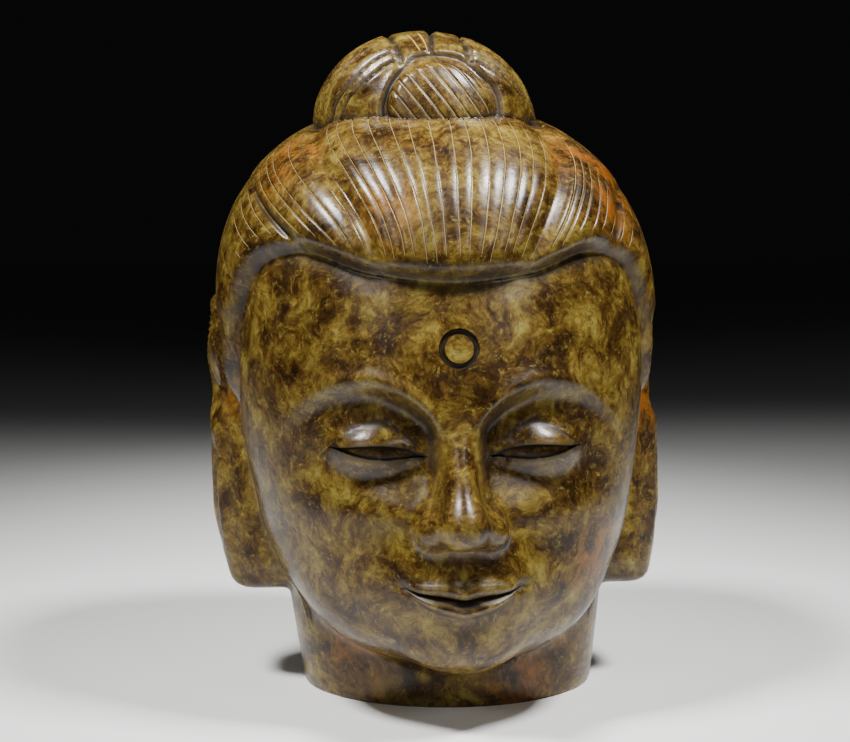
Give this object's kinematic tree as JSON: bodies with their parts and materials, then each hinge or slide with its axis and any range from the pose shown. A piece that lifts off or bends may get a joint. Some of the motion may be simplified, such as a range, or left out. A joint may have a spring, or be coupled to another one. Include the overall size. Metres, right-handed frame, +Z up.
{
  "type": "carved stone head",
  "caption": "Carved stone head with combed hair, a topknot, long ears and a short neck cut flat underneath to stand on.",
  "frame": {"origin": "on the flat underside of the neck, below the middle of the head", "axes": "+Z up through the topknot, -Y the way the face looks, +X towards the head's left ear"},
  "size_m": [0.1868, 0.205, 0.26],
  "materials": {
    "polished_stone": "polished mottled brown and olive-green stone"
  },
  "bodies": {
    "root": {"stone_head": "polished_stone"}
  },
  "joints": []
}
